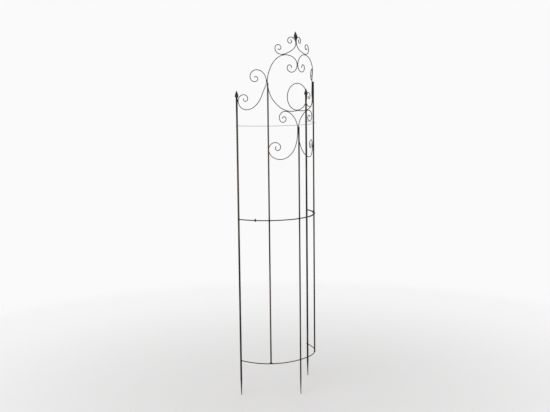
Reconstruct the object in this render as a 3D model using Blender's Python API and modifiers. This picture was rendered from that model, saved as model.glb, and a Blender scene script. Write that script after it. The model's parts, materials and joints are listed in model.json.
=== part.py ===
"""Half round metal garden trellis: five posts on an arc, two bolted sections, wire scrolls and finials.

Metres, +Z up, the spike tips at height zero and the outer side of the arc facing -Y.
Welds are left as a narrow gap, so every bar, wire and fastener is a closed solid of its own.
"""

from math import atan2, ceil, copysign, cos, pi, radians, sin

import bmesh
import bpy
from mathutils import Vector

# Plan of the posts
ARC_RADIUS = 0.250
POST_STEP = radians(40)
WELD_GAP = 0.0003

# Bars and wires
END_POST_RADIUS = 0.005
INNER_POST_RADIUS = 0.004
HOOP_WIRE_RADIUS = 0.0025
TIE_WIRE_RADIUS = 0.001
SCROLL_WIRE_RADIUS = 0.002

# Heights above the spike tips
BOTTOM_HOOP_HEIGHT = 0.188
SECTION_JOINT_HEIGHT = 0.961
CENTRE_POST_TOP = 1.447
TIE_WIRE_HEIGHT = 1.454
END_POST_TOP = 1.597
INNER_POST_TOP = 1.675

# Ground spikes
SPIKE_LENGTH = 0.085
SPIKE_TIP_RADIUS = 0.0019
POST_CHAMFER = 0.0008

# Hoops
BOTTOM_HOOP_END_ANGLE = radians(79.6)
JOINT_HOOP_END_ANGLE = 2 * POST_STEP
JOINT_HOOP_WIDTH = 0.010
JOINT_HOOP_THICKNESS = 0.0020
TIE_HOOK_TURN = radians(250)
HOOP_STEPS = 48
TIE_WIRE_STEPS = 36
TIE_HOOK_STEPS = 10

# Bolts through the two flat hoops of the section joint
BOLT_ANGLE = radians(57)
BOLT_RADIUS = 0.0025
BOLT_HOLE_RADIUS = 0.0028
BOLT_HEAD_HEIGHT = 0.0035
BOLT_POINT_LENGTH = 0.0030
NUT_HEIGHT = 0.0040
ACROSS_FLATS = 0.008

# Surface that the scrollwork lies on, behind the posts and leaning back at the crown
SCROLL_RADIUS = ARC_RADIUS - INNER_POST_RADIUS - 2 * WELD_GAP - SCROLL_WIRE_RADIUS
FLATTEN_FROM = 1.620
FLATTEN_TO = 1.880
CROWN_LEAN_FROM = 1.800
CROWN_LEAN = 0.116

# Depth of the scrollwork as a share of the arc's: (height from, height to, share reached)
SCROLL_DEPTHS = ((1.380, 1.450, 0.55), (1.530, 1.620, 1.00), (1.680, 1.760, 0.85))

# Scroll wires: each bend is (turn in degrees, radius at its start, radius at its end)
MIRROR_OFFSET = (SCROLL_WIRE_RADIUS + WELD_GAP / 2) / cos(POST_STEP / 2)
LOOP_END_OFFSET = 0.0008
SIDE_POST_OFFSET = 0.0045
SIDE_SCROLL_HEIGHT = 1.583
SIDE_SMALL_EYE = ((65, 0.0234, 0.0500), (316, 0.0500, 0.0102))
SIDE_LOWER_BEND = ((121, 0.0400, 0.0820), (40, 0.0820, 0.4060))
SIDE_INNER_POST = 0.1762
SIDE_INNER_HEIGHT = 1.680
SIDE_LARGE_EYE = ((181, 0.0913, 0.0298), (67, 0.0298, 0.0251), (260, 0.0251, 0.0090))

LOOP_SCROLL_HEIGHT = 1.7655
LOOP_EYE = ((127, 0.0465, 0.0272), (267, 0.0272, 0.0096))
LOOP_SWEEP = (
    (50.2, 0.0312, 0.0717), (147.6, 0.0717, 0.3732), (16.5, 0.3732, 0.0963), (66.4, 0.0963, 0.2238)
)

CROWN_SCROLL_HEIGHT = 1.8758
CROWN_INNER_EYE = ((142, 0.0378, 0.0192), (297, 0.0192, 0.0080))
CROWN_OUTER_EYE = ((63, 0.0285, 0.1846), (8, 0.1846, 0.2535), (244, 0.2535, 0.0156), (207, 0.0156, 0.0080))

HEART_SCROLL_HEIGHT = 1.4309
HEART_UPPER_EYE = ((50, 0.0897, 0.1228), (245, 0.1228, 0.0199), (253, 0.0199, 0.0090))
HEART_LOWER_EYE = ((108, 0.4093, 0.0711), (210, 0.0711, 0.0278), (286, 0.0278, 0.0098))

LONGEST_WIRE_STEP = 0.016
LARGEST_WIRE_TURN = radians(18)

# Ring behind the foot of the loop scrolls
CENTRE_RING_RADIUS = 0.069
CENTRE_RING_HEIGHT = 1.600
CENTRE_RING_SIDES = 36

# Bud finials
FINIAL_COLLAR_RADIUS = 0.0058
FINIAL_COLLAR_HEIGHT = 0.0030
FINIAL_NECK_RADIUS = 0.0042
FINIAL_NECK_HEIGHT = 0.0050
FINIAL_BUD_RADIUS = 0.0108
FINIAL_HEIGHT = 0.0380
FINIAL_TIP_RADIUS = 0.0006
FINIAL_TANG_LENGTH = 0.0070
FINIAL_TANG_RADIUS = 0.0025
CROWN_FINIAL_HEIGHT = 1.897
FINIAL_STEPS = 10
FINIAL_SIDES = 16

# Finishes: base colour, roughness and metallic value
BRONZE_PAINT = ((0.050, 0.040, 0.034), 0.55, 0.60)
RUBBED_BRONZE = ((0.070, 0.052, 0.038), 0.50, 0.70)
BRIGHT_WIRE = ((0.420, 0.415, 0.400), 0.40, 0.90)
DARK_ZINC = ((0.090, 0.085, 0.080), 0.45, 0.85)


def clear_scene():
    for old in list(bpy.data.objects):
        bpy.data.objects.remove(old, do_unlink=True)


def new_collection(name):
    collection = bpy.data.collections.new(name)
    bpy.context.scene.collection.children.link(collection)
    return collection


def new_material(name, finish):
    colour, roughness, metallic = finish
    material = bpy.data.materials.new(name)
    material.use_nodes = True
    shader = material.node_tree.nodes["Principled BSDF"]
    shader.inputs["Base Color"].default_value = (*colour, 1)
    shader.inputs["Roughness"].default_value = roughness
    shader.inputs["Metallic"].default_value = metallic
    material.diffuse_color = (*colour, 1)
    return material


def arc_point(angle, radius, height=0.0):
    """The point at an angle from the centre post, with the arc's centre on the Z axis."""
    return Vector((radius * sin(angle), -radius * cos(angle), height))


def section_frame(name, collection, height):
    """An empty at the arc's centre that carries one section of the trellis."""
    outer_side = ARC_RADIUS + END_POST_RADIUS + WELD_GAP + 2 * TIE_WIRE_RADIUS
    widest_bud = max(radius for radius, height in finial_profile())
    open_side = ARC_RADIUS * cos(2 * POST_STEP) - widest_bud
    frame = bpy.data.objects.new(name, None)
    frame.location = (0, (outer_side + open_side) / 2, height)
    collection.objects.link(frame)
    return frame


def add_piece(mesh, name, section, finish, position=(0, 0, 0)):
    """One piece of the trellis, placed from the arc's centre at ground height and carried by its section."""
    piece = bpy.data.objects.new(name, mesh)
    section.users_collection[0].objects.link(piece)
    mesh.materials.clear()
    mesh.materials.append(new_material(name + "_finish", finish))
    piece.parent = section
    piece.location = Vector(position) - Vector((0, 0, section.location.z))
    return piece


def smooth_round_faces(mesh):
    for face in mesh.polygons:
        face.use_smooth = True
    mesh.set_sharp_from_angle(angle=radians(40))


def curve_mesh(curve, name):
    """The closed mesh of a curve, with its end caps welded on."""
    carrier = bpy.data.objects.new(name + "_curve", curve)
    bpy.context.scene.collection.objects.link(carrier)
    graph = bpy.context.evaluated_depsgraph_get()
    mesh = bpy.data.meshes.new_from_object(carrier.evaluated_get(graph))
    bpy.data.objects.remove(carrier, do_unlink=True)
    bpy.data.curves.remove(curve)
    weld_vertices(mesh)
    smooth_round_faces(mesh)
    mesh.name = name
    return mesh


def weld_vertices(mesh):
    work = bmesh.new()
    work.from_mesh(mesh)
    bmesh.ops.remove_doubles(work, verts=work.verts, dist=0.00002)
    bmesh.ops.recalc_face_normals(work, faces=work.faces)
    work.to_mesh(mesh)
    work.free()


def wire_mesh(name, points, radius, closed=False):
    """A round wire along a line of points."""
    curve = bpy.data.curves.new(name, "CURVE")
    curve.dimensions = "3D"
    curve.bevel_depth = radius
    curve.bevel_resolution = 2
    curve.use_fill_caps = not closed
    line = curve.splines.new("POLY")
    line.points.add(len(points) - 1)
    for place, point in zip(line.points, points):
        place.co = (*point, 1)
    line.use_cyclic_u = closed
    return curve_mesh(curve, name)


def plate_mesh(name, outlines, thickness):
    """A flat plate centred on height zero, from an outer outline followed by those of its holes."""
    curve = bpy.data.curves.new(name, "CURVE")
    curve.dimensions = "2D"
    curve.fill_mode = "BOTH"
    curve.extrude = thickness / 2
    for outline in outlines:
        line = curve.splines.new("POLY")
        line.points.add(len(outline) - 1)
        for place, point in zip(line.points, outline):
            place.co = (point[0], point[1], 0, 1)
        line.use_cyclic_u = True
    return curve_mesh(curve, name)


def round_outline(centre, radius, sides):
    turns = [2 * pi * side / sides for side in range(sides)]
    return [(centre[0] + radius * cos(turn), centre[1] + radius * sin(turn)) for turn in turns]


def revolved_piece(name, profile, sides, section, finish, position):
    """A round piece whose profile runs from the top to the bottom at +X."""
    mesh = bpy.data.meshes.new(name)
    edges = [(index, index + 1) for index in range(len(profile) - 1)]
    mesh.from_pydata([(radius, 0, height) for radius, height in profile], edges, [])
    piece = add_piece(mesh, name, section, finish, position)
    screw = piece.modifiers.new("revolve", "SCREW")
    screw.angle = 2 * pi
    screw.steps = sides
    screw.render_steps = sides
    screw.use_merge_vertices = True
    screw.merge_threshold = 0.00001
    screw.use_smooth_shade = True
    return piece


def post_profile(radius, length, spiked=False, chamfered=False):
    """The profile of a round bar that stands on height zero, sharpened if it enters the ground."""
    chamfer = POST_CHAMFER if chamfered else 0
    profile = [(0, length), (radius - chamfer, length)]
    if chamfered:
        profile.append((radius, length - chamfer))
    if spiked:
        return profile + [(radius, SPIKE_LENGTH), (SPIKE_TIP_RADIUS, 0), (0, 0)]
    return profile + [(radius, 0), (0, 0)]


def lower_posts(section):
    """Three spiked posts and two that stand on the bottom hoop, all reaching up to the joint hoop."""
    top = SECTION_JOINT_HEIGHT - JOINT_HOOP_THICKNESS - 1.5 * WELD_GAP
    on_hoop = BOTTOM_HOOP_HEIGHT + HOOP_WIRE_RADIUS + WELD_GAP
    for side, sign in (("left", -1), ("right", 1)):
        spiked = post_profile(END_POST_RADIUS, top, spiked=True)
        place = arc_point(sign * 2 * POST_STEP, ARC_RADIUS)
        revolved_piece("lower_end_post_" + side, spiked, 16, section, BRONZE_PAINT, place)
        plain = post_profile(INNER_POST_RADIUS, top - on_hoop)
        place = arc_point(sign * POST_STEP, ARC_RADIUS, on_hoop)
        revolved_piece("lower_inner_post_" + side, plain, 16, section, BRONZE_PAINT, place)
    spiked = post_profile(INNER_POST_RADIUS, top, spiked=True)
    revolved_piece("lower_centre_post", spiked, 16, section, BRONZE_PAINT, arc_point(0, ARC_RADIUS))


def upper_posts(section):
    """Five posts that stand on the flat joint hoop of the upper section."""
    foot = SECTION_JOINT_HEIGHT + JOINT_HOOP_THICKNESS + 1.5 * WELD_GAP
    for side, sign in (("left", -1), ("right", 1)):
        end = post_profile(END_POST_RADIUS, END_POST_TOP - foot)
        place = arc_point(sign * 2 * POST_STEP, ARC_RADIUS, foot)
        revolved_piece("upper_end_post_" + side, end, 16, section, RUBBED_BRONZE, place)
        inner = post_profile(INNER_POST_RADIUS, INNER_POST_TOP - foot, chamfered=True)
        place = arc_point(sign * POST_STEP, ARC_RADIUS, foot)
        revolved_piece("upper_inner_post_" + side, inner, 16, section, BRONZE_PAINT, place)
    centre = post_profile(INNER_POST_RADIUS, CENTRE_POST_TOP - foot, chamfered=True)
    revolved_piece("upper_centre_post", centre, 16, section, BRONZE_PAINT, arc_point(0, ARC_RADIUS, foot))


def spaced(low, high, pieces):
    return [low + (high - low) * step / pieces for step in range(pieces + 1)]


def bottom_hoop(section):
    """A wire hoop along the inner side of the three spiked posts and under the feet of the other two."""
    angles = spaced(-BOTTOM_HOOP_END_ANGLE, BOTTOM_HOOP_END_ANGLE, HOOP_STEPS)
    points = [arc_point(angle, bottom_hoop_radius(angle)) for angle in angles]
    mesh = wire_mesh("bottom_hoop", points, HOOP_WIRE_RADIUS)
    add_piece(mesh, "bottom_hoop", section, BRONZE_PAINT, (0, 0, BOTTOM_HOOP_HEIGHT))


def bottom_hoop_radius(angle):
    """The hoop's distance from the arc's centre, which drops at each spiked post to pass inside it."""
    post_radius = INNER_POST_RADIUS + (END_POST_RADIUS - INNER_POST_RADIUS) * abs(angle) / (2 * POST_STEP)
    inset = post_radius + HOOP_WIRE_RADIUS + WELD_GAP
    return ARC_RADIUS - inset * (1 + cos(pi / POST_STEP * angle)) / 2


def joint_hoop_outline():
    """The outline of a flat bar along the arc, with half round ends that are flush with the end posts."""
    angles = spaced(-JOINT_HOOP_END_ANGLE, JOINT_HOOP_END_ANGLE, HOOP_STEPS)
    outer = [arc_point(angle, ARC_RADIUS + JOINT_HOOP_WIDTH / 2) for angle in angles]
    inner = [arc_point(angle, ARC_RADIUS - JOINT_HOOP_WIDTH / 2) for angle in reversed(angles)]
    far_end = half_round_end(JOINT_HOOP_END_ANGLE, 1)
    near_end = half_round_end(-JOINT_HOOP_END_ANGLE, -1)
    return outer + far_end + inner + near_end


def half_round_end(angle, sign):
    """The points between the corners of a half round end, from the bar's outer edge if sign is 1."""
    centre = arc_point(angle, ARC_RADIUS)
    outward = arc_point(angle, JOINT_HOOP_WIDTH / 2) * sign
    onward = Vector((cos(angle), sin(angle), 0)) * sign * JOINT_HOOP_WIDTH / 2
    turns = spaced(0, pi, 6)[1:-1]
    return [centre + outward * cos(turn) + onward * sin(turn) for turn in turns]


def joint_hoop(name, section, finish, height):
    """One of the two flat hoops that meet face to face where the sections join."""
    outlines = [joint_hoop_outline()]
    for sign in (-1, 1):
        outlines.append(round_outline(arc_point(sign * BOLT_ANGLE, ARC_RADIUS), BOLT_HOLE_RADIUS, 16))
    mesh = plate_mesh(name, outlines, JOINT_HOOP_THICKNESS)
    add_piece(mesh, name, section, finish, (0, 0, height))


def tie_wire(section):
    """A thin wire around the outside of the posts, hooked round the two end posts."""
    radius = ARC_RADIUS + END_POST_RADIUS + WELD_GAP + TIE_WIRE_RADIUS
    points = [arc_point(angle, radius) for angle in spaced(-2 * POST_STEP, 2 * POST_STEP, TIE_WIRE_STEPS)]
    left_hook = tie_wire_hook(-1, radius - ARC_RADIUS)
    right_hook = tie_wire_hook(1, radius - ARC_RADIUS)
    points = left_hook[::-1] + points[1:-1] + right_hook
    mesh = wire_mesh("tie_wire", points, TIE_WIRE_RADIUS)
    add_piece(mesh, "tie_wire", section, BRIGHT_WIRE, (0, 0, TIE_WIRE_HEIGHT))


def tie_wire_hook(sign, radius):
    """The end of the tie wire, from the outer side of an end post around it."""
    angle = sign * 2 * POST_STEP
    outward = arc_point(angle, radius)
    onward = Vector((cos(angle), sin(angle), 0)) * sign * radius
    turns = spaced(0, TIE_HOOK_TURN, TIE_HOOK_STEPS)
    return [arc_point(angle, ARC_RADIUS) + outward * cos(turn) + onward * sin(turn) for turn in turns]


def hexagon():
    corner = ACROSS_FLATS / 2 / cos(pi / 6)
    return round_outline((0, 0), corner, 6)


def joint_fasteners(lower, upper, helpers):
    """The two bolts with their heads under the lower hoop, and the nuts on the upper one."""
    stack = JOINT_HOOP_THICKNESS + 1.5 * WELD_GAP
    shank = 2 * stack + NUT_HEIGHT + BOLT_POINT_LENGTH
    for side, sign in (("left", -1), ("right", 1)):
        axis = arc_point(sign * BOLT_ANGLE, ARC_RADIUS, SECTION_JOINT_HEIGHT)
        joint_bolt("joint_bolt_" + side, lower, helpers, axis - Vector((0, 0, stack)), shank)
        outlines = [hexagon(), round_outline((0, 0), BOLT_HOLE_RADIUS, 16)]
        nut = plate_mesh("joint_nut_" + side, outlines, NUT_HEIGHT)
        over_hoop = Vector((0, 0, stack + NUT_HEIGHT / 2))
        add_piece(nut, "joint_nut_" + side, upper, DARK_ZINC, axis + over_hoop)


def joint_bolt(name, section, helpers, head_top, shank_length):
    """A hexagon bolt, head down: a six sided head joined to a round shank that starts halfway up it."""
    head = cylinder_mesh(name, ACROSS_FLATS / 2 / cos(pi / 6), BOLT_HEAD_HEIGHT, 6)
    centre = head_top - Vector((0, 0, BOLT_HEAD_HEIGHT / 2))
    bolt = add_piece(head, name, section, DARK_ZINC, centre)
    length = shank_length + BOLT_HEAD_HEIGHT / 2
    shank = bpy.data.objects.new(name + "_shank", cylinder_mesh(name + "_shank", BOLT_RADIUS, length, 16))
    helpers.objects.link(shank)
    shank.parent = bolt
    shank.location.z = length / 2
    shank.hide_render = True
    shank.display_type = "WIRE"
    join = bolt.modifiers.new("shank", "BOOLEAN")
    join.operation = "UNION"
    join.solver = "EXACT"
    join.object = shank


def cylinder_mesh(name, radius, depth, sides):
    work = bmesh.new()
    bmesh.ops.create_cone(work, cap_ends=True, segments=sides, radius1=radius, radius2=radius, depth=depth)
    mesh = bpy.data.meshes.new(name)
    work.to_mesh(mesh)
    work.free()
    return mesh


def walk_bends(start, heading, side, bends):
    """Points of a wire that leaves start along heading and turns to one side, 1 for left and -1 for right.

    The curvature changes evenly along each bend, from its first radius to its last.
    """
    along, height = start
    points = [(along, height)]
    for turn, first_radius, last_radius in bends:
        first, last = 1 / first_radius, 1 / last_radius
        length = 2 * radians(turn) / (first + last)
        pieces = max(ceil(radians(turn) / LARGEST_WIRE_TURN), ceil(length / LONGEST_WIRE_STEP))
        step = length / pieces
        for piece in range(pieces):
            swing = side * step * (first + (last - first) * (piece + 0.5) / pieces)
            along += step * cos(heading + swing / 2)
            height += step * sin(heading + swing / 2)
            heading += swing
            points.append((along, height))
    return points, heading


def bridge(start, start_heading, end, end_heading, pieces):
    """Points between two ends of a wire, along a curve that leaves and meets them at their headings."""
    begin, finish = Vector(start), Vector(end)
    reach = (finish - begin).length
    leave = Vector((cos(start_heading), sin(start_heading))) * reach
    arrive = Vector((cos(end_heading), sin(end_heading))) * reach
    points = []
    for step in range(1, pieces):
        t = step / pieces
        place = begin * (2 * t**3 - 3 * t**2 + 1) + leave * (t**3 - 2 * t**2 + t)
        place += finish * (3 * t**2 - 2 * t**3) + arrive * (t**3 - t**2)
        points.append((place.x, place.y))
    return points


def both_ways(anchor, upward, downward, upward_side, downward_side):
    """A wire that is upright at its anchor, bent one way above it and one way below it."""
    above = walk_bends(anchor, pi / 2, upward_side, upward)[0]
    below = walk_bends(anchor, -pi / 2, downward_side, downward)[0]
    return below[::-1] + above[1:]


def side_scroll_line():
    """From the small eye by the end post, under and up to the inner post, to the large eye."""
    post = (-2 * POST_STEP * SCROLL_RADIUS + SIDE_POST_OFFSET, SIDE_SCROLL_HEIGHT)
    inner = (-SIDE_INNER_POST, SIDE_INNER_HEIGHT)
    small_eye = walk_bends(post, pi / 2, -1, SIDE_SMALL_EYE)[0]
    lower, heading = walk_bends(post, -pi / 2, 1, SIDE_LOWER_BEND)
    large_eye = walk_bends(inner, pi / 2, 1, SIDE_LARGE_EYE)[0]
    return small_eye[::-1] + lower[1:] + bridge(lower[-1], heading, inner, pi / 2, 5) + large_eye


def loop_scroll_line():
    """From the eye at the centre line, over the loop, down past the inner post and in to the centre."""
    anchor = (-MIRROR_OFFSET, LOOP_SCROLL_HEIGHT)
    line = both_ways(anchor, LOOP_SWEEP, LOOP_EYE, 1, -1)
    return cut_at_centre(line)


def cut_at_centre(line):
    """The line without what passes the centre line, where the wire meets its mirror image end to end."""
    half = len(line) // 2
    last = next(index for index in range(half, len(line)) if line[index][0] > -LOOP_END_OFFSET)
    (before, low), (after, high) = line[last - 1], line[last]
    share = (-LOOP_END_OFFSET - before) / (after - before)
    return line[:last] + [(-LOOP_END_OFFSET, low + (high - low) * share)]


def crown_scroll_line():
    anchor = (-MIRROR_OFFSET, CROWN_SCROLL_HEIGHT)
    return both_ways(anchor, CROWN_INNER_EYE, CROWN_OUTER_EYE, 1, -1)


def heart_scroll_line():
    anchor = (-MIRROR_OFFSET, HEART_SCROLL_HEIGHT)
    return both_ways(anchor, HEART_UPPER_EYE, HEART_LOWER_EYE, 1, -1)


def on_scroll_surface(along, height, flattened):
    """A point of the scrollwork: on the arc behind the posts, or nearer the line between two posts."""
    place = arc_point(along / SCROLL_RADIUS, SCROLL_RADIUS, height)
    if flattened:
        centre = arc_point(0, SCROLL_RADIUS, height)
        post = arc_point(copysign(POST_STEP, along), SCROLL_RADIUS, height)
        straight = centre.lerp(post, abs(along) / (POST_STEP * SCROLL_RADIUS))
        place = place.lerp(straight, smooth_step(FLATTEN_FROM, FLATTEN_TO, height))
        place.y = centre.y + (place.y - centre.y) * depth_share(height)
    place.y += CROWN_LEAN * max(height - CROWN_LEAN_FROM, 0)
    return place


def depth_share(height):
    """How far the scrollwork curves back: fully where it is welded to posts, less where it hangs free."""
    share = 1.0
    for low, high, reached in SCROLL_DEPTHS:
        share += (reached - share) * smooth_step(low, high, height)
    return share


def smooth_step(low, high, value):
    share = min(max((value - low) / (high - low), 0), 1)
    return share * share * (3 - 2 * share)


def scroll_pair(name, line, section, flattened):
    """A scroll on the left half of the trellis and its mirror image on the right half."""
    for side, sign in (("left", 1), ("right", -1)):
        points = [on_scroll_surface(sign * along, height, flattened) for along, height in line]
        mesh = wire_mesh(name + "_" + side, points, SCROLL_WIRE_RADIUS)
        add_piece(mesh, name + "_" + side, section, BRONZE_PAINT)


def centre_ring(section):
    """A flat ring behind the place where the two loop scrolls meet at their foot."""
    depth = SCROLL_RADIUS - 2 * SCROLL_WIRE_RADIUS - WELD_GAP
    outline = round_outline((0, 0), CENTRE_RING_RADIUS, CENTRE_RING_SIDES)
    points = [Vector((x, 0, z)) for x, z in outline]
    mesh = wire_mesh("centre_ring", points, SCROLL_WIRE_RADIUS, closed=True)
    add_piece(mesh, "centre_ring", section, BRONZE_PAINT, (0, -depth, CENTRE_RING_HEIGHT))


def finial_profile():
    """A pointed bud on a neck and a round collar, from the tip down to height zero."""
    profile = [(0, FINIAL_HEIGHT)]
    rise = FINIAL_HEIGHT - FINIAL_NECK_HEIGHT
    for t in spaced(1, 0, FINIAL_STEPS):
        plain = FINIAL_NECK_RADIUS + (FINIAL_TIP_RADIUS - FINIAL_NECK_RADIUS) * t
        swell = (FINIAL_BUD_RADIUS - FINIAL_NECK_RADIUS) * sin(pi * t**0.55) ** 1.25 if 0 < t < 1 else 0
        profile.append((plain + swell, FINIAL_NECK_HEIGHT + rise * t))
    half = FINIAL_COLLAR_HEIGHT / 2
    for turn in spaced(0.35 * pi, -0.5 * pi, 4):
        profile.append((FINIAL_COLLAR_RADIUS - half + half * cos(turn), half * (1 + sin(turn))))
    return profile


def finials(section):
    """A bud on top of each end post, and one whose tang sits in the fork of the crown scrolls."""
    for side, sign in (("left", -1), ("right", 1)):
        place = arc_point(sign * 2 * POST_STEP, ARC_RADIUS, END_POST_TOP + WELD_GAP)
        profile = finial_profile() + [(0, 0)]
        revolved_piece("end_finial_" + side, profile, FINIAL_SIDES, section, RUBBED_BRONZE, place)
    tang = [(FINIAL_NECK_RADIUS, 0), (FINIAL_TANG_RADIUS, -FINIAL_TANG_LENGTH), (0, -FINIAL_TANG_LENGTH)]
    place = on_scroll_surface(0, CROWN_FINIAL_HEIGHT, False)
    profile = finial_profile() + tang
    crown = revolved_piece("crown_finial", profile, FINIAL_SIDES, section, RUBBED_BRONZE, place)
    crown.rotation_euler.x = -atan2(CROWN_LEAN, 1)


def build():
    clear_scene()
    collection = new_collection("metal_trellis")
    helpers = new_collection("helpers")
    lower = section_frame("lower_section", collection, 0)
    upper = section_frame("upper_section", collection, SECTION_JOINT_HEIGHT)
    lower_posts(lower)
    upper_posts(upper)
    bottom_hoop(lower)
    half_stack = (JOINT_HOOP_THICKNESS + WELD_GAP) / 2
    joint_hoop("lower_joint_hoop", lower, BRONZE_PAINT, SECTION_JOINT_HEIGHT - half_stack)
    joint_hoop("upper_joint_hoop", upper, BRONZE_PAINT, SECTION_JOINT_HEIGHT + half_stack)
    joint_fasteners(lower, upper, helpers)
    tie_wire(upper)
    scroll_pair("side_scroll", side_scroll_line(), upper, flattened=False)
    scroll_pair("heart_scroll", heart_scroll_line(), upper, flattened=True)
    scroll_pair("loop_scroll", loop_scroll_line(), upper, flattened=True)
    scroll_pair("crown_scroll", crown_scroll_line(), upper, flattened=True)
    centre_ring(upper)
    finials(upper)


build()
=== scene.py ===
"""The looks of the metal trellis: fine bars, wires, welds, finials and fasteners in worn bronze paint.

Metres, in the part's own frame. Sizes that the frame holds are read from it, and the scroll lines
repeat the part's own rule.
"""

import json
from math import atan2, ceil, copysign, cos, pi, radians, sin, sqrt

import bmesh
import bpy
from mathutils import Matrix, Vector, noise


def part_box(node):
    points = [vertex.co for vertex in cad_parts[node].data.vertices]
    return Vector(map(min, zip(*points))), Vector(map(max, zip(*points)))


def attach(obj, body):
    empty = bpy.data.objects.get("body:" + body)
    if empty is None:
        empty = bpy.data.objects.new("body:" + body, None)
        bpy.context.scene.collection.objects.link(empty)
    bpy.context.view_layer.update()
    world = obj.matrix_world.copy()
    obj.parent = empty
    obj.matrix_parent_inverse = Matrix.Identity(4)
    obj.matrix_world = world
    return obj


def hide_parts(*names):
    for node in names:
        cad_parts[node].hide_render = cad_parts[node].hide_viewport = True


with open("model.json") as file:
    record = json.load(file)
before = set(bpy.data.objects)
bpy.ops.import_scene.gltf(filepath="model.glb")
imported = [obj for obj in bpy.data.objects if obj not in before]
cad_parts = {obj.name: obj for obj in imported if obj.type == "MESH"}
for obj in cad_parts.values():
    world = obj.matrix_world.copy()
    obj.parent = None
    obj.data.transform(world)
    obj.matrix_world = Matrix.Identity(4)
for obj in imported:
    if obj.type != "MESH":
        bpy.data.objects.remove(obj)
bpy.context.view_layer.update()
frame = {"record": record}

BEHAVIOUR = frame["record"]["behaviour"]
BODY_OF = {node: body for body, nodes in BEHAVIOUR["bodies"].items() for node in nodes}
SLOT_OF = {part["node"]: part["material_slot"] for part in frame["record"]["subparts"]}

# Camera, as it stood for the photograph
CAMERA_PLACE = Vector((-3.4162, -3.7970, 1.7513))
CAMERA_HEADING = radians(-41.257)
CAMERA_PITCH = radians(8.174)
CAMERA_ROLL = radians(-0.661)
CAMERA_LENS_MM = 63.07
CAMERA_SENSOR_MM = 36.0
CAMERA_SHIFT = 0.0015
CAMERA_REACH = 200

# Light and floor
SKY_LIGHT = 0.66
SKY_SHOWN = 0.955
SUN_STRENGTH = 1.35
SUN_SPREAD = radians(50)
SUN_TURN = (radians(38), 0, radians(-75))
FLOOR_RADIUS = 60.0
FLOOR_SIDES = 96
FLOOR_DROP = 0.0004
# The floor's near tone and its fade are painted shade on the floor: greyer round the object, lighter far
# off
FLOOR_PAINTED_SHADE_TONE = (0.735, 0.726, 0.723)
FLOOR_FAR_TONE = (0.918, 0.914, 0.913)
BACKDROP_TONE = (0.955, 0.955, 0.955)
FLOOR_PAINTED_SHADE_FADE = (0.25, 2.50)
BACKDROP_FADE = (2.45, 2.85)
FLOOR_SPECULAR = 0.12

# Plan of the posts, as in the part
POST_STEP = radians(40)
WELD_GAP = 0.0003
POST_RADIUS = (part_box("upper_centre_post")[1].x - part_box("upper_centre_post")[0].x) / 2
END_POST_RADIUS = (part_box("upper_end_post_left")[1].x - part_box("upper_end_post_left")[0].x) / 2
HALF_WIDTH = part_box("upper_end_post_right")[1].x - END_POST_RADIUS
ARC_RADIUS = HALF_WIDTH / sin(2 * POST_STEP)
ARC_CENTRE_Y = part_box("upper_centre_post")[0].y + POST_RADIUS + ARC_RADIUS

# Scroll lines, as in the part: a bend is (turn in degrees, first radius, last radius)
SCROLL_WIRE_RADIUS = 0.002
SCROLL_RADIUS = ARC_RADIUS - POST_RADIUS - 2 * WELD_GAP - SCROLL_WIRE_RADIUS
FLATTEN_FROM = 1.620
FLATTEN_TO = 1.880

# How deep the scrollwork curves, upwards: (height from, height to, share of the arc's depth reached)
SCROLL_DEPTHS = ((1.380, 1.450, 0.55), (1.530, 1.620, 1.00), (1.680, 1.760, 0.85))
CROWN_LEAN_FROM = 1.800
CROWN_LEAN = 0.116
CROWN_FINIAL_HEIGHT = 1.897
MIRROR_OFFSET = (SCROLL_WIRE_RADIUS + WELD_GAP / 2) / cos(POST_STEP / 2)
LOOP_END_OFFSET = 0.0008
SIDE_POST_OFFSET = 0.0045
SIDE_SCROLL_HEIGHT = 1.583
SIDE_SMALL_EYE = ((65, 0.0234, 0.0500), (316, 0.0500, 0.0102))
SIDE_LOWER_BEND = ((121, 0.0400, 0.0820), (40, 0.0820, 0.4060))
SIDE_INNER_POST = 0.1762
SIDE_INNER_HEIGHT = 1.680
SIDE_LARGE_EYE = ((181, 0.0913, 0.0298), (67, 0.0298, 0.0251), (260, 0.0251, 0.0090))
LOOP_SCROLL_HEIGHT = 1.7655
LOOP_EYE = ((127, 0.0465, 0.0272), (267, 0.0272, 0.0096))
LOOP_SWEEP = (
    (50.2, 0.0312, 0.0717),
    (147.6, 0.0717, 0.3732),
    (16.5, 0.3732, 0.0963),
    (66.4, 0.0963, 0.2238),
)
CROWN_SCROLL_HEIGHT = 1.8758
CROWN_INNER_EYE = ((142, 0.0378, 0.0192), (297, 0.0192, 0.0080))
CROWN_OUTER_EYE = (
    (63, 0.0285, 0.1846),
    (8, 0.1846, 0.2535),
    (244, 0.2535, 0.0156),
    (207, 0.0156, 0.0080),
)
HEART_SCROLL_HEIGHT = 1.4309
HEART_UPPER_EYE = ((50, 0.0897, 0.1228), (245, 0.1228, 0.0199), (253, 0.0199, 0.0090))
HEART_LOWER_EYE = ((108, 0.4093, 0.0711), (210, 0.0711, 0.0278), (286, 0.0278, 0.0098))
LONGEST_WIRE_STEP = 0.016
LARGEST_WIRE_TURN = radians(18)

# Hoops, ring and tie wire, as in the part
BOTTOM_HOOP_END_ANGLE = radians(79.6)
JOINT_HOOP_END_ANGLE = 2 * POST_STEP
HOOP_WIRE_RADIUS = 0.0025
TIE_WIRE_RADIUS = 0.001
TIE_WIRE_EASE = 0.0001
TIE_HOOK_TURN = radians(250)
CENTRE_RING_RADIUS = 0.069

# Fineness of the shapes
WIRE_REFINE = 5
WELD_LINE_REFINE = 3
WIRE_SIDES = 16
TIE_WIRE_SIDES = 12
POST_SIDES = 32
FINIAL_SIDES = 48
POST_RING_STEP = 0.006
HOOP_STEPS = 220
TIE_WIRE_STEPS = 120
TIE_HOOK_STEPS = 36
WIRE_END_STEPS = 3
RING_STEPS = 120
BRIDGE_PIECES = 5

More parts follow.
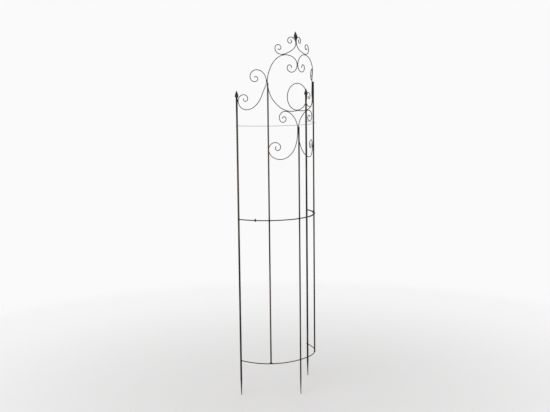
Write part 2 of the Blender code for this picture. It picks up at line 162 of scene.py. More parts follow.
# Unevenness of hand worked bars and wires, as shares of their radius, and its scales in spots to a metre
WIRE_UNEVENNESS = 0.012
WIRE_END_ROUNDING = 0.3
DENT_DEPTH = 0.010
WIRE_UNEVEN_SCALE = 90
DENT_SCALES = (60, 60, 22)


def arc_point(angle, radius, height=0.0):
    return Vector((radius * sin(angle), ARC_CENTRE_Y - radius * cos(angle), height))


def spaced(low, high, pieces):
    return [low + (high - low) * step / pieces for step in range(pieces + 1)]


def full_turn(pieces):
    return [2 * pi * step / pieces for step in range(pieces)]


def smooth_step(low, high, value):
    share = min(max((value - low) / (high - low), 0), 1)
    return share * share * (3 - 2 * share)


# Scroll lines


def walk_bends(start, heading, side, bends):
    """Points of a wire that turns to one side from its start, each bend's curvature changing evenly."""
    along, height = start
    points = [(along, height)]
    for turn, first_radius, last_radius in bends:
        first, last = 1 / first_radius, 1 / last_radius
        length = 2 * radians(turn) / (first + last)
        pieces = max(ceil(radians(turn) / LARGEST_WIRE_TURN), ceil(length / LONGEST_WIRE_STEP))
        step = length / pieces
        for piece in range(pieces):
            swing = side * step * (first + (last - first) * (piece + 0.5) / pieces)
            along += step * cos(heading + swing / 2)
            height += step * sin(heading + swing / 2)
            heading += swing
            points.append((along, height))
    return points, heading


def bridge(start, start_heading, end, end_heading, pieces):
    """Points between two ends of a wire, along a curve that leaves and meets them at their headings."""
    begin, finish = Vector(start), Vector(end)
    reach = (finish - begin).length
    leave = Vector((cos(start_heading), sin(start_heading))) * reach
    arrive = Vector((cos(end_heading), sin(end_heading))) * reach
    points = []
    for step in range(1, pieces):
        t = step / pieces
        place = begin * (2 * t**3 - 3 * t**2 + 1) + leave * (t**3 - 2 * t**2 + t)
        place += finish * (3 * t**2 - 2 * t**3) + arrive * (t**3 - t**2)
        points.append((place.x, place.y))
    return points


def both_ways(height, upward, downward):
    """A wire beside its mirror image at a height, bent to the left above it and to the right below it."""
    anchor = (-MIRROR_OFFSET, height)
    above = walk_bends(anchor, pi / 2, 1, upward)[0]
    below = walk_bends(anchor, -pi / 2, -1, downward)[0]
    return below[::-1] + above[1:]


def side_scroll_line():
    post = (-2 * POST_STEP * SCROLL_RADIUS + SIDE_POST_OFFSET, SIDE_SCROLL_HEIGHT)
    inner = (-SIDE_INNER_POST, SIDE_INNER_HEIGHT)
    small_eye = walk_bends(post, pi / 2, -1, SIDE_SMALL_EYE)[0]
    lower, heading = walk_bends(post, -pi / 2, 1, SIDE_LOWER_BEND)
    large_eye = walk_bends(inner, pi / 2, 1, SIDE_LARGE_EYE)[0]
    between = bridge(lower[-1], heading, inner, pi / 2, BRIDGE_PIECES)
    return small_eye[::-1] + lower[1:] + between + large_eye


def loop_scroll_line():
    line = both_ways(LOOP_SCROLL_HEIGHT, LOOP_SWEEP, LOOP_EYE)
    half = len(line) // 2
    last = next(index for index in range(half, len(line)) if line[index][0] > -LOOP_END_OFFSET)
    (before, low), (after, high) = line[last - 1], line[last]
    share = (-LOOP_END_OFFSET - before) / (after - before)
    return line[:last] + [(-LOOP_END_OFFSET, low + (high - low) * share)]


def on_scroll_surface(along, height, flattened):
    """A point of the scrollwork: on the arc behind the posts, or nearer the straight line between them."""
    place = arc_point(along / SCROLL_RADIUS, SCROLL_RADIUS, height)
    if flattened:
        centre = arc_point(0, SCROLL_RADIUS, height)
        post = arc_point(copysign(POST_STEP, along), SCROLL_RADIUS, height)
        straight = centre.lerp(post, abs(along) / (POST_STEP * SCROLL_RADIUS))
        place = place.lerp(straight, smooth_step(FLATTEN_FROM, FLATTEN_TO, height))
        place.y = centre.y + (place.y - centre.y) * depth_share(height)
    place.y += CROWN_LEAN * max(height - CROWN_LEAN_FROM, 0)
    return place


def depth_share(height):
    """How far the scrollwork curves back: fully at its welds to inner posts, less where it hangs free."""
    share = 1.0
    for low, high, reached in SCROLL_DEPTHS:
        share += (reached - share) * smooth_step(low, high, height)
    return share


# Each scroll's line, and whether it hangs flatter than the arc
SCROLLS = {
    "side_scroll": (side_scroll_line(), False),
    "loop_scroll": (loop_scroll_line(), True),
    "crown_scroll": (both_ways(CROWN_SCROLL_HEIGHT, CROWN_INNER_EYE, CROWN_OUTER_EYE), True),
    "heart_scroll": (both_ways(HEART_SCROLL_HEIGHT, HEART_UPPER_EYE, HEART_LOWER_EYE), True),
}


def scroll_points(name, sign):
    line, flattened = SCROLLS[name]
    return [on_scroll_surface(sign * along, height, flattened) for along, height in line]


def refined(points, pieces=WIRE_REFINE):
    """The same line with more points, on a smooth curve through the given ones."""
    ends = [points[0] * 2 - points[1], *points, points[-1] * 2 - points[-2]]
    fine = []
    for before, start, end, after in zip(ends, ends[1:], ends[2:], ends[3:]):
        reach = (end - start).length
        leave = (end - before) * (reach / ((end - start).length + (start - before).length))
        arrive = (after - start) * (reach / ((after - end).length + (end - start).length))
        for step in range(pieces):
            t = step / pieces
            place = start * (2 * t**3 - 3 * t**2 + 1) + leave * (t**3 - 2 * t**2 + t)
            fine.append(place + end * (3 * t**2 - 2 * t**3) + arrive * (t**3 - t**2))
    return fine + [points[-1]]


# Lines of the members, also used to find where they are welded


def bottom_hoop_points():
    """The bottom hoop: on the inner side of the spiked posts and under the feet of the other two."""
    height = (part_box("bottom_hoop")[0].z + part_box("bottom_hoop")[1].z) / 2
    angles = spaced(-BOTTOM_HOOP_END_ANGLE, BOTTOM_HOOP_END_ANGLE, HOOP_STEPS)
    return [arc_point(angle, bottom_hoop_radius(angle), height) for angle in angles]


def bottom_hoop_radius(angle):
    post_radius = POST_RADIUS + (END_POST_RADIUS - POST_RADIUS) * abs(angle) / (2 * POST_STEP)
    inset = post_radius + HOOP_WIRE_RADIUS + WELD_GAP
    return ARC_RADIUS - inset * (1 + cos(pi / POST_STEP * angle)) / 2


def tie_wire_points():
    """The tie wire round the outside of the posts, with a hook round each end post."""
    height = (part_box("tie_wire")[0].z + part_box("tie_wire")[1].z) / 2
    stand_off = END_POST_RADIUS + WELD_GAP + TIE_WIRE_RADIUS - TIE_WIRE_EASE
    turns = spaced(-2 * POST_STEP, 2 * POST_STEP, TIE_WIRE_STEPS)
    middle = [arc_point(turn, ARC_RADIUS + stand_off, height) for turn in turns]
    hooks = []
    for sign in (-1, 1):
        angle = sign * 2 * POST_STEP
        outward = arc_point(angle, stand_off) - arc_point(angle, 0)
        onward = Vector((cos(angle), sin(angle), 0)) * sign * stand_off
        centre = arc_point(angle, ARC_RADIUS, height)
        hook_turns = spaced(0, TIE_HOOK_TURN, TIE_HOOK_STEPS)
        hooks.append([centre + outward * cos(t) + onward * sin(t) for t in hook_turns])
    return hooks[0][::-1] + middle[1:-1] + hooks[1]


def ring_points():
    low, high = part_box("centre_ring")
    centre = (low + high) / 2
    radius = CENTRE_RING_RADIUS
    return [centre + Vector((radius * cos(t), 0, radius * sin(t))) for t in full_turn(RING_STEPS)]


def plan_middle(low, high, height):
    return Vector(((low.x + high.x) / 2, (low.y + high.y) / 2, height))


def post_axis(node):
    """The centre of a post's foot, its length and its radius."""
    low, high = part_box(node)
    return plan_middle(low, high, low.z), high.z - low.z, (high.x - low.x) / 2


# Meshes


def link_piece(mesh, name, material):
    piece = bpy.data.objects.new(name, mesh)
    bpy.context.scene.collection.objects.link(piece)
    mesh.materials.clear()
    mesh.materials.append(material)
    return piece


def stand_in(node, mesh, material):
    """A finely shaped piece that is shown in the place of a node and moves with its body."""
    piece = link_piece(mesh, node + "_shape", material)
    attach(piece, BODY_OF[node])
    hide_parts(node)


def finished_mesh(work, name, sharp_angle):
    """A smooth shaded mesh, with edges kept sharp above an angle in degrees."""
    bmesh.ops.recalc_face_normals(work, faces=work.faces)
    mesh = bpy.data.meshes.new(name)
    work.to_mesh(mesh)
    work.free()
    for face in mesh.polygons:
        face.use_smooth = True
    mesh.set_sharp_from_angle(angle=radians(sharp_angle))
    return mesh


def set_share(mesh, name, rule):
    """Keeps a share from 0 to 1, as of worn paint, at each point of a mesh, by a rule on its place."""
    share = mesh.attributes.new(name, "FLOAT", "POINT")
    for vertex in mesh.vertices:
        share.data[vertex.index].value = min(max(rule(vertex.co), 0), 1)


def loft(rings, closed=False):
    """A bmesh through rings of equal size, with end faces unless it is closed on itself."""
    work = bmesh.new()
    loops = [[work.verts.new(point) for point in ring] for ring in rings]
    pairs = list(zip(loops, loops[1:])) + ([(loops[-1], loops[0])] if closed else [])
    for near, far in pairs:
        for side in range(len(near)):
            after = (side + 1) % len(near)
            work.faces.new((near[side], near[after], far[after], far[side]))
    if not closed:
        work.faces.new(loops[0][::-1])
        work.faces.new(loops[-1])
    return work


def wire_rings(points, radius, sides, closed):
    """Rings across a line of points, without twist, narrowed to a rounded cut at any ends."""
    count = len(points)
    rings = []
    across = None
    for index, point in enumerate(points):
        if closed:
            tangent = (points[(index + 1) % count] - points[index - 1]).normalized()
        else:
            tangent = (points[min(index + 1, count - 1)] - points[max(index - 1, 0)]).normalized()
        if across is None:
            across = tangent.orthogonal().normalized()
        across = (across - tangent * across.dot(tangent)).normalized()
        up = tangent.cross(across)
        uneven = 1 + WIRE_UNEVENNESS * noise.noise(point * WIRE_UNEVEN_SCALE)
        rings.append([
            point + (across * cos(turn) + up * sin(turn)) * radius * uneven
            for turn in full_turn(sides)
        ])
    if closed:
        return rings
    return rounded_end(rings, points, 0) + rings[1:-1] + rounded_end(rings, points, -1)


def rounded_end(rings, points, end):
    """The end ring of a wire, and the smaller rings of its rounded cut, in their order along the wire."""
    centre = points[end]
    inward = (points[1] - points[0] if end == 0 else points[-2] - points[-1]).normalized()
    ring = rings[end]
    radius = (ring[0] - centre).length
    cut = WIRE_END_ROUNDING * radius
    parts = []
    for turn in spaced(0, pi / 2, WIRE_END_STEPS):
        depth = cut * (1 - sin(turn))
        shrink = 1 - cut / radius * (1 - cos(turn))
        parts.append([centre + inward * depth + (corner - centre) * shrink for corner in ring])
    return parts[::-1] if end == 0 else parts


def wire_piece(node, points, radius, material, sides=WIRE_SIDES, closed=False):
    rings = wire_rings(points, radius, sides, closed)
    mesh = finished_mesh(loft(rings, closed), node + "_shape", sharp_angle=60)
    stand_in(node, mesh, material)


def lathe_mesh(name, profile, sides, centre, lean=0.0):
    """A turned piece from a profile of (radius, height), upwards, round a leaning axis through centre."""
    tilt = Matrix.Rotation(-lean, 3, "X")
    turns = full_turn(sides)
    rings = []
    for radius, height in profile:
        rings.append([centre + tilt @ Vector((radius * cos(t), radius * sin(t), height)) for t in turns])
    return finished_mesh(loft(rings), name, sharp_angle=35)


# Posts

SPIKE_LENGTH = 0.085
SPIKE_TIP_RADIUS = 0.0019
SPIKE_TIP_EDGE = 0.0007
SPIKE_TIP_EDGE_SHARE = 0.7
SPIKE_STEPS = 18
FOOT_CHAMFER = 0.0004
FOOT_CHAMFER_HEIGHT = 0.0006
FREE_TOP_CHAMFER = 0.0010
WELDED_TOP_CHAMFER = 0.0004

# Wear on the posts: its share, and the distances between which it fades
SPIKE_WEAR = (0.50, 0.001, 0.025)
END_WEAR = (0.55, 0.0005, 0.004)

# Where the paint turns lighter, to olive grey or reddish brown, in patches on each post, as
# (post, height from, height to, olive share, reddish share)
PATCH_FADE = 0.025
TONE_PATCHES = (
    ("upper_end_post_left", 1.26, 1.52, 0.7, 0.2),
    ("upper_end_post_left", 1.13, 1.25, 0.2, 0.9),
    ("upper_end_post_left", 0.97, 1.12, 0.8, 0.1),
    ("lower_end_post_left", 0.86, 0.96, 1.0, 0.0),
    ("upper_inner_post_left", 1.22, 1.64, 0.5, 0.6),
    ("upper_inner_post_left", 0.97, 1.20, 0.6, 0.2),
    ("lower_inner_post_left", 0.42, 0.72, 0.1, 0.6),
    ("lower_inner_post_left", 0.30, 0.40, 0.7, 0.0),
    ("upper_centre_post", 0.98, 1.25, 0.6, 0.1),
    ("lower_centre_post", 0.74, 0.90, 0.1, 0.8),
    ("lower_centre_post", 0.32, 0.44, 0.7, 0.1),
    ("upper_inner_post_right", 1.10, 1.28, 0.0, 0.6),
    ("upper_inner_post_right", 1.45, 1.60, 0.1, 0.5),
)


def post_outline(radius, length, spiked, top_chamfer):
    """The profile of a bar from foot to top, with rings close enough for the dents of a hand worked bar."""
    profile = []
    start = FOOT_CHAMFER_HEIGHT
    if spiked:
        profile.append((SPIKE_TIP_RADIUS * SPIKE_TIP_EDGE_SHARE, 0.0))
        for height in spaced(SPIKE_TIP_EDGE, SPIKE_LENGTH, SPIKE_STEPS):
            taper = height / SPIKE_LENGTH
            profile.append((SPIKE_TIP_RADIUS + (radius - SPIKE_TIP_RADIUS) * taper, height))
        start = SPIKE_LENGTH + POST_RING_STEP
    else:
        profile.append((radius - FOOT_CHAMFER, 0.0))
    steps = max(2, round((length - start - top_chamfer) / POST_RING_STEP))
    for height in spaced(start, length - top_chamfer, steps):
        profile.append((radius, height))
    profile.append((radius - top_chamfer, length))
    return profile


def post_piece(node, material):
    foot, length, radius = post_axis(node)
    spiked = foot.z < SPIKE_LENGTH
    free_top = node in ("upper_centre_post", "upper_inner_post_left", "upper_inner_post_right")
    profile = post_outline(radius, length, spiked, FREE_TOP_CHAMFER if free_top else WELDED_TOP_CHAMFER)
    mesh = lathe_mesh(node + "_shape", profile, POST_SIDES, foot)
    for vertex in mesh.vertices:
        axis = Vector((foot.x, foot.y, vertex.co.z))
        outward = vertex.co - axis
        stretched = Vector([value * scale for value, scale in zip(vertex.co, DENT_SCALES)])
        vertex.co = axis + outward * (1 - DENT_DEPTH * (1 + noise.noise(stretched)))
    top = foot.z + length

    def rub(place):
        return fading(SPIKE_WEAR, place.z) + fading(END_WEAR, abs(top - place.z))

    set_share(mesh, "wear", rub)
    patches = [patch[1:] for patch in TONE_PATCHES if patch[0] == node]
    olive = [(low, high, share) for low, high, share, _ in patches]
    reddish = [(low, high, share) for low, high, _, share in patches]
    set_share(mesh, "olive", lambda place: patched(place.z, olive))
    set_share(mesh, "reddish", lambda place: patched(place.z, reddish))
    stand_in(node, mesh, material)


def patched(height, patches):
    """The share of a tone at a height, from its patches of (height from, height to, share)."""
    return sum(share * within(height, low, high) for low, high, share in patches)


def within(height, low, high):
    """1 between two heights, fading to 0 outside them."""
    risen = smooth_step(low - PATCH_FADE, low + PATCH_FADE, height)
    return risen * smooth_step(high + PATCH_FADE, high - PATCH_FADE, height)


def fading(wear, distance):
    """A share of wear that fades to nothing between two distances."""
    share, near, far = wear
    return share * (1 - smooth_step(near, far, distance))


# Finials

FINIAL_HEIGHT = 0.0380
FINIAL_NECK_HEIGHT = 0.0032
FINIAL_NECK_RADIUS = 0.0042
FINIAL_BUD_RADIUS = 0.0108
FINIAL_BELLY_LOWNESS = 0.45
FINIAL_BELLY_ROUNDNESS = 0.80
FINIAL_TIP_RADIUS = 0.0006
FINIAL_COLLAR_RADIUS = 0.0058
FINIAL_COLLAR_HEIGHT = 0.0030
FINIAL_TANG_RADIUS = 0.0025
FINIAL_TANG_LENGTH = 0.0070
FINIAL_TANG_EDGE = 0.0002
FINIAL_COLLAR_TURNS = (-0.5 * pi, 0.35 * pi)
FINIAL_COLLAR_STEPS = 10
FINIAL_BUD_STEPS = 40
FINIAL_WIDEST = (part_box("end_finial_left")[1].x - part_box("end_finial_left")[0].x) / 2
BELLY_WEAR = 0.75
BELLY_WEAR_FROM = 0.6
TIP_WEAR = 0.8
TIP_WEAR_LENGTH = 0.006


def finial_outline(tang):
    """A pointed bud on a neck and a round collar, from the foot up."""
    profile = []
    if tang:
        profile += [(FINIAL_TANG_RADIUS, -FINIAL_TANG_LENGTH), (FINIAL_NECK_RADIUS, -FINIAL_TANG_EDGE)]
    half = FINIAL_COLLAR_HEIGHT / 2
    for turn in spaced(*FINIAL_COLLAR_TURNS, FINIAL_COLLAR_STEPS):
        profile.append((FINIAL_COLLAR_RADIUS - half + half * cos(turn), half * (1 + sin(turn))))
    for t in [share * share for share in spaced(0, 1, FINIAL_BUD_STEPS)]:
        plain = FINIAL_NECK_RADIUS + (FINIAL_TIP_RADIUS - FINIAL_NECK_RADIUS) * t
        swell = sin(pi * t**FINIAL_BELLY_LOWNESS) ** FINIAL_BELLY_ROUNDNESS if 0 < t < 1 else 0
        radius = plain + (FINIAL_BUD_RADIUS - FINIAL_NECK_RADIUS) * swell
        profile.append((radius, FINIAL_NECK_HEIGHT + (FINIAL_HEIGHT - FINIAL_NECK_HEIGHT) * t))
    slimming = FINIAL_WIDEST / max(radius for radius, height in profile)
    return [(radius * slimming, height) for radius, height in profile]


def finial_piece(node, material):
    low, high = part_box(node)
    crown = node == "crown_finial"
    lean = atan2(CROWN_LEAN, 1) if crown else 0
    if crown:
        foot = on_scroll_surface(0, CROWN_FINIAL_HEIGHT, False)
    else:
        foot = plan_middle(low, high, low.z)
    mesh = lathe_mesh(node + "_shape", finial_outline(crown), FINIAL_SIDES, foot, lean)

    def rub(place):
        reach = sqrt((place.x - foot.x) ** 2 + (place.y - foot.y) ** 2)
        belly = smooth_step(BELLY_WEAR_FROM * FINIAL_BUD_RADIUS, FINIAL_BUD_RADIUS, reach)
        tip = smooth_step(high.z - TIP_WEAR_LENGTH, high.z, place.z)
        return BELLY_WEAR * belly + TIP_WEAR * tip

    set_share(mesh, "wear", rub)
    stand_in(node, mesh, material)


# Flat joint hoops and their fasteners

JOINT_HOOP_HALF_WIDTH = 0.005
JOINT_HOOP_EDGE = 0.0004
JOINT_HOOP_EDGE_STEPS = 3
JOINT_HOOP_END_STEPS = 10
JOINT_HOOP_NARROWEST = 0.04
HOOP_EDGE_WEAR = 0.6
HOOP_EDGE_WEAR_REACH = 0.0012
FASTENER_SIDES = 48
ACROSS_FLATS = 0.008
CHAMFER_FROM = 0.95
CHAMFER_DEPTH = 0.6
CHAMFER_STEPS = 4
BOLT_RADIUS = 0.0025
BOLT_HEAD_HEIGHT = 0.0035
BOLT_HEAD_FACE = 0.55
BOLT_LEAD_IN = 0.0005
BOLT_END_RADIUS = 0.0017
BOLT_HEAD_WEAR = 0.5
BOLT_SHANK_WEAR = 0.2
THREAD_PITCH = 0.0008
THREAD_DEPTH = 0.00045
THREAD_STEPS = 4
NUT_BORE_RADIUS = 0.0028
NUT_COUNTERSINK = 0.0006
NUT_WEAR = 0.4


def joint_hoop_piece(node, material):
    """A flat bar on the arc with rounded edges and half round ends."""
    low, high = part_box(node)
    half_width = JOINT_HOOP_HALF_WIDTH
    thickness = high.z - low.z
    edge = JOINT_HOOP_EDGE
    section = []
    for corner_side, corner_up, start in ((1, 1, 0), (-1, 1, pi / 2), (-1, -1, pi), (1, -1, 1.5 * pi)):
        for turn in spaced(start, start + pi / 2, JOINT_HOOP_EDGE_STEPS):
            across = corner_side * (half_width - edge) + edge * cos(turn)
            up = thickness / 2 + corner_up * (thickness / 2 - edge) + edge * sin(turn)
            section.append((across, up))
    end_turns = spaced(0, pi / 2, JOINT_HOOP_END_STEPS)
    stations = []
    for turn in end_turns[:0:-1]:
        stations.append((-JOINT_HOOP_END_ANGLE - half_width * sin(turn) / ARC_RADIUS, cos(turn)))
    stations += [(angle, 1.0) for angle in spaced(-JOINT_HOOP_END_ANGLE, JOINT_HOOP_END_ANGLE, HOOP_STEPS)]
    for turn in end_turns[1:]:
        stations.append((JOINT_HOOP_END_ANGLE + half_width * sin(turn) / ARC_RADIUS, cos(turn)))
    rings = []
    for angle, share in stations:
        wide = max(share, JOINT_HOOP_NARROWEST)
        rings.append([arc_point(angle, ARC_RADIUS + across * wide, low.z + up) for across, up in section])
    mesh = finished_mesh(loft(rings), node + "_shape", sharp_angle=35)

    def rub(place):
        across = abs(Vector((place.x, place.y - ARC_CENTRE_Y)).length - ARC_RADIUS)
        return HOOP_EDGE_WEAR * smooth_step(half_width - HOOP_EDGE_WEAR_REACH, half_width, across)

    set_share(mesh, "wear", rub)
    stand_in(node, mesh, material)


def hexagon_ring(centre, corner_radius, height):
    """Points round a hexagon, with equally many on each flat."""
    flat_pieces = FASTENER_SIDES // 6
    ring = []
    for side in range(6):
        start = Vector((cos(side * pi / 3), sin(side * pi / 3), 0)) * corner_radius
        end = Vector((cos((side + 1) * pi / 3), sin((side + 1) * pi / 3), 0)) * corner_radius
        for step in range(flat_pieces):
            ring.append(centre + start.lerp(end, step / flat_pieces) + Vector((0, 0, height)))
    return ring


def limited(ring, centre, reach):
    """A ring cut back to a circle, as the chamfer of a hexagon head is."""
    cut = []
    for point in ring:
        flat = Vector((point.x - centre.x, point.y - centre.y, 0))
        share = min(1, reach / flat.length)
        cut.append(Vector((centre.x + flat.x * share, centre.y + flat.y * share, point.z)))
    return cut


def hexagon_rings(centre, low, high, chamfer_low, chamfer_high):
    """Rings up a hexagon of standard form, chamfered at its lower or upper corners."""
    corner = ACROSS_FLATS / 2 / cos(pi / 6)
    flat = ACROSS_FLATS / 2
    depth = (corner - flat) * CHAMFER_DEPTH
    start = flat * CHAMFER_FROM
    steps = spaced(0, 1, CHAMFER_STEPS)
    places = [(low + depth * t, t, chamfer_low) for t in steps]
    places += [(high - depth * t, t, chamfer_high) for t in reversed(steps)]
    rings = []
    for height, t, chamfered in places:
        reach = start + (corner - start) * t if chamfered else corner
        rings.append(limited(hexagon_ring(centre, corner, height), centre, reach))
    return rings


def round_ring(centre, radius, height):
    turns = full_turn(FASTENER_SIDES)
    return [centre + Vector((radius * cos(t), radius * sin(t), height)) for t in turns]


def bolt_piece(node, material):
    """A hexagon head with a chamfer below, and above it a threaded shank with a lead in."""
    low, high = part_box(node)
    centre = plan_middle(low, high, 0)
    head_top = low.z + BOLT_HEAD_HEIGHT
    rings = [round_ring(centre, ACROSS_FLATS / 2 * BOLT_HEAD_FACE, low.z)]
    rings += hexagon_rings(centre, low.z, head_top, True, False)
    steps = ceil((high.z - head_top) / (THREAD_PITCH / THREAD_STEPS))
    for height in spaced(head_top, high.z - BOLT_LEAD_IN, steps):
        phase = (height / THREAD_PITCH) % 1
        groove = THREAD_DEPTH * abs(2 * phase - 1)
        rings.append(round_ring(centre, BOLT_RADIUS - groove, height))
    rings.append(round_ring(centre, BOLT_END_RADIUS, high.z))
    mesh = finished_mesh(loft(rings), node + "_shape", sharp_angle=25)
    set_share(mesh, "wear", lambda place: BOLT_HEAD_WEAR if place.z < head_top else BOLT_SHANK_WEAR)
    stand_in(node, mesh, material)


def nut_piece(node, material):
    """A hexagon nut, chamfered on both faces, with its bore open for the bolt."""
    low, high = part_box(node)
    centre = plan_middle(low, high, 0)
    rings = hexagon_rings(centre, low.z, high.z, True, True)
    rings.append(round_ring(centre, NUT_BORE_RADIUS + NUT_COUNTERSINK, high.z))
    rings.append(round_ring(centre, NUT_BORE_RADIUS, high.z - NUT_COUNTERSINK))
    rings.append(round_ring(centre, NUT_BORE_RADIUS, low.z + NUT_COUNTERSINK))
    rings.append(round_ring(centre, NUT_BORE_RADIUS + NUT_COUNTERSINK, low.z))
    mesh = finished_mesh(loft(rings, closed=True), node + "_shape", sharp_angle=25)
    set_share(mesh, "wear", lambda place: NUT_WEAR)
    stand_in(node, mesh, material)


# Welds

WELD_REACH = 0.0012
WELD_SPACING = 0.030
WELD_WEAR = 0.25
BEAD_FINENESS = 4
BEAD_RIPPLE = 0.06
BEAD_RIPPLE_TURNS = 17
BEAD_RIPPLE_CURVE = 2.2
BEAD_LUMPS = 0.16
BEAD_LUMP_SCALE = 1.7
BEAD_SEED_SHIFT = (3.1, 1.7, 0)
FOOT_BEAD_RIPPLE = 0.07
FOOT_BEAD_RIPPLES = 26
FOOT_BEAD_LUMPS = 0.18
FOOT_BEAD_LUMP_SCALE = 2.3
FOOT_BEAD_SEED_SHIFT = (2.3, 0, 1)
FOOT_BEAD_REACH = 0.75
FOOT_BEAD_OVERLAP = 0.0002
FOOT_BEAD_STEPS = 72
FOOT_BEAD_SIDES = 12

# First seeds of the beads all round a foot
FINIAL_FOOT_SEED = 4
INNER_FOOT_SEED = 7
UPPER_FOOT_SEED = 20

# Beads all round a foot or top: their thickness
INNER_FOOT_BEAD = 0.0020
POST_END_BEAD = 0.0011
FINIAL_FOOT_BEAD = 0.0007

# Beads along a seam: half their length, width and height
INNER_SIDE_BEAD = (0.0052, 0.0042, 0.0038)
SPIKE_SEAM_BEAD = (0.0034, 0.0019, 0.0017)
SPIKE_SEAM_SPREAD = 0.0022
SCROLL_BEAD = (0.0052, 0.0021, 0.0014)
FORK_BEAD = (0.0030, 0.0040, 0.0024)
FORK_BEAD_RISE = 0.0002


def touching_places(first, first_radius, second, second_radius):
    """Where two lines run within welding reach of each other: place, direction and normal of each weld."""
    limit = first_radius + second_radius + WELD_REACH
    near = []
    for index in range(1, len(first) - 1):
        point = first[index]
        other, distance = nearest_on_line(point, second)
        if distance < limit:
            near.append((distance, point, other, (first[index + 1] - first[index - 1]).normalized()))
    near.sort(key=lambda found: found[0])
    places = []
    for distance, point, other, along in near:
        middle = point + (other - point) * (first_radius / (first_radius + second_radius))
        if all((middle - kept[0]).length > WELD_SPACING for kept in places):
            places.append((middle, along, (other - point).normalized()))
    return places


def nearest_on_line(point, line):
    best, best_distance = None, float("inf")
    for start, end in zip(line, line[1:]):
        span = end - start
        share = min(max((point - start).dot(span) / span.length_squared, 0), 1)
        place = start + span * share
        distance = (point - place).length
        if distance < best_distance:
            best, best_distance = place, distance
    return best, best_distance


def add_bead(work, place, along, normal, size, seed):
    """A small weld bead: a rippled lump, longest along the seam."""
    side = along.cross(normal).normalized()
    normal = side.cross(along).normalized()
    turn = Matrix((along, side, normal)).transposed()
    shift = Vector([seed * step for step in BEAD_SEED_SHIFT])
    bead = bmesh.ops.create_icosphere(work, subdivisions=BEAD_FINENESS, radius=1.0)
    for vertex in bead["verts"]:
        unit = vertex.co.copy()
        swing = unit.x * BEAD_RIPPLE_TURNS + BEAD_RIPPLE_CURVE * unit.y * unit.y
        ripple = 1 + BEAD_RIPPLE * cos(swing)
        lumps = 1 + BEAD_LUMPS * noise.noise(unit * BEAD_LUMP_SCALE + shift)
        shape = Vector((unit.x * size[0], unit.y * size[1] * ripple, unit.z * size[2] * ripple)) * lumps
        vertex.co = place + turn @ shape


def add_foot_bead(work, centre, radius, thickness, seed):
    """A bead all round the foot or the top of a post."""
    shift = Vector([seed * step for step in FOOT_BEAD_SEED_SHIFT])
    loops = []
    for turn in full_turn(FOOT_BEAD_STEPS):
        outward = Vector((cos(turn), sin(turn), 0))
        lumps = FOOT_BEAD_LUMPS * noise.noise(outward * FOOT_BEAD_LUMP_SCALE + shift)
        lump = 1 + lumps + FOOT_BEAD_RIPPLE * cos(turn * FOOT_BEAD_RIPPLES)
        loop = []
        for swing in full_turn(FOOT_BEAD_SIDES):
            reach = radius - FOOT_BEAD_OVERLAP + thickness * FOOT_BEAD_REACH * lump * cos(swing)
            rise = thickness * lump * sin(swing)
            loop.append(work.verts.new(centre + outward * reach + Vector((0, 0, rise))))
        loops.append(loop)
    for near, far in zip(loops, loops[1:] + loops[:1]):
        for side in range(FOOT_BEAD_SIDES):
            after = (side + 1) % FOOT_BEAD_SIDES
            work.faces.new((near[side], near[after], far[after], far[side]))


def weld_piece(name, body, material, fill):
    """All the beads of one section as one piece, filled in by a function."""
    work = bmesh.new()
    fill(work)
    mesh = finished_mesh(work, name, sharp_angle=80)
    set_share(mesh, "wear", lambda place: WELD_WEAR)
    piece = link_piece(mesh, name, material)
    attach(piece, body)


POSTS = ("end_post_left", "end_post_right", "inner_post_left", "inner_post_right", "centre_post")


def post_line(node):
    foot, length, radius = post_axis(node)
    return [foot, foot + Vector((0, 0, length))], radius


def lower_welds(work):
    """Beads beside the spiked posts at the bottom hoop, under the other two, and at every post's top."""
    hoop_height = (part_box("bottom_hoop")[0].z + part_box("bottom_hoop")[1].z) / 2
    for seed, post in enumerate(POSTS):
        line, radius = post_line("lower_" + post)
        angle = atan2(line[0].x, ARC_CENTRE_Y - line[0].y)
        along = Vector((cos(angle), sin(angle), 0))
        if line[0].z > hoop_height:
            foot = line[0] - Vector((0, 0, WELD_GAP))
            add_foot_bead(work, foot, radius, INNER_FOOT_BEAD, seed + INNER_FOOT_SEED)
            for side in (-1, 1):
                place = foot + along * side * radius
                add_bead(work, place, along, Vector((0, 0, 1)), INNER_SIDE_BEAD, seed + side)
        else:
            inward = arc_point(angle, -1) - arc_point(angle, 0)
            seam = Vector((line[0].x, line[0].y, hoop_height)) + inward * radius
            for side in (-1, 1):
                shifted = seam + along * side * SPIKE_SEAM_SPREAD
                add_bead(work, shifted, Vector((0, 0, 1)), inward, SPIKE_SEAM_BEAD, seed + side)
        add_foot_bead(work, line[1] - Vector((0, 0, WELD_GAP)), radius, POST_END_BEAD, seed)


def add_fork_bead(work, seed):
    """A bead that joins the crown finial's tang to both wires of the fork that it sits in."""
    upward = Vector((0, CROWN_LEAN, 1)).normalized()
    foot = on_scroll_surface(0, CROWN_FINIAL_HEIGHT, False)
    place = foot - upward * (FINIAL_TANG_LENGTH - FORK_BEAD_RISE)
    add_bead(work, place, upward, Vector((0, -1, 0)), FORK_BEAD, seed)


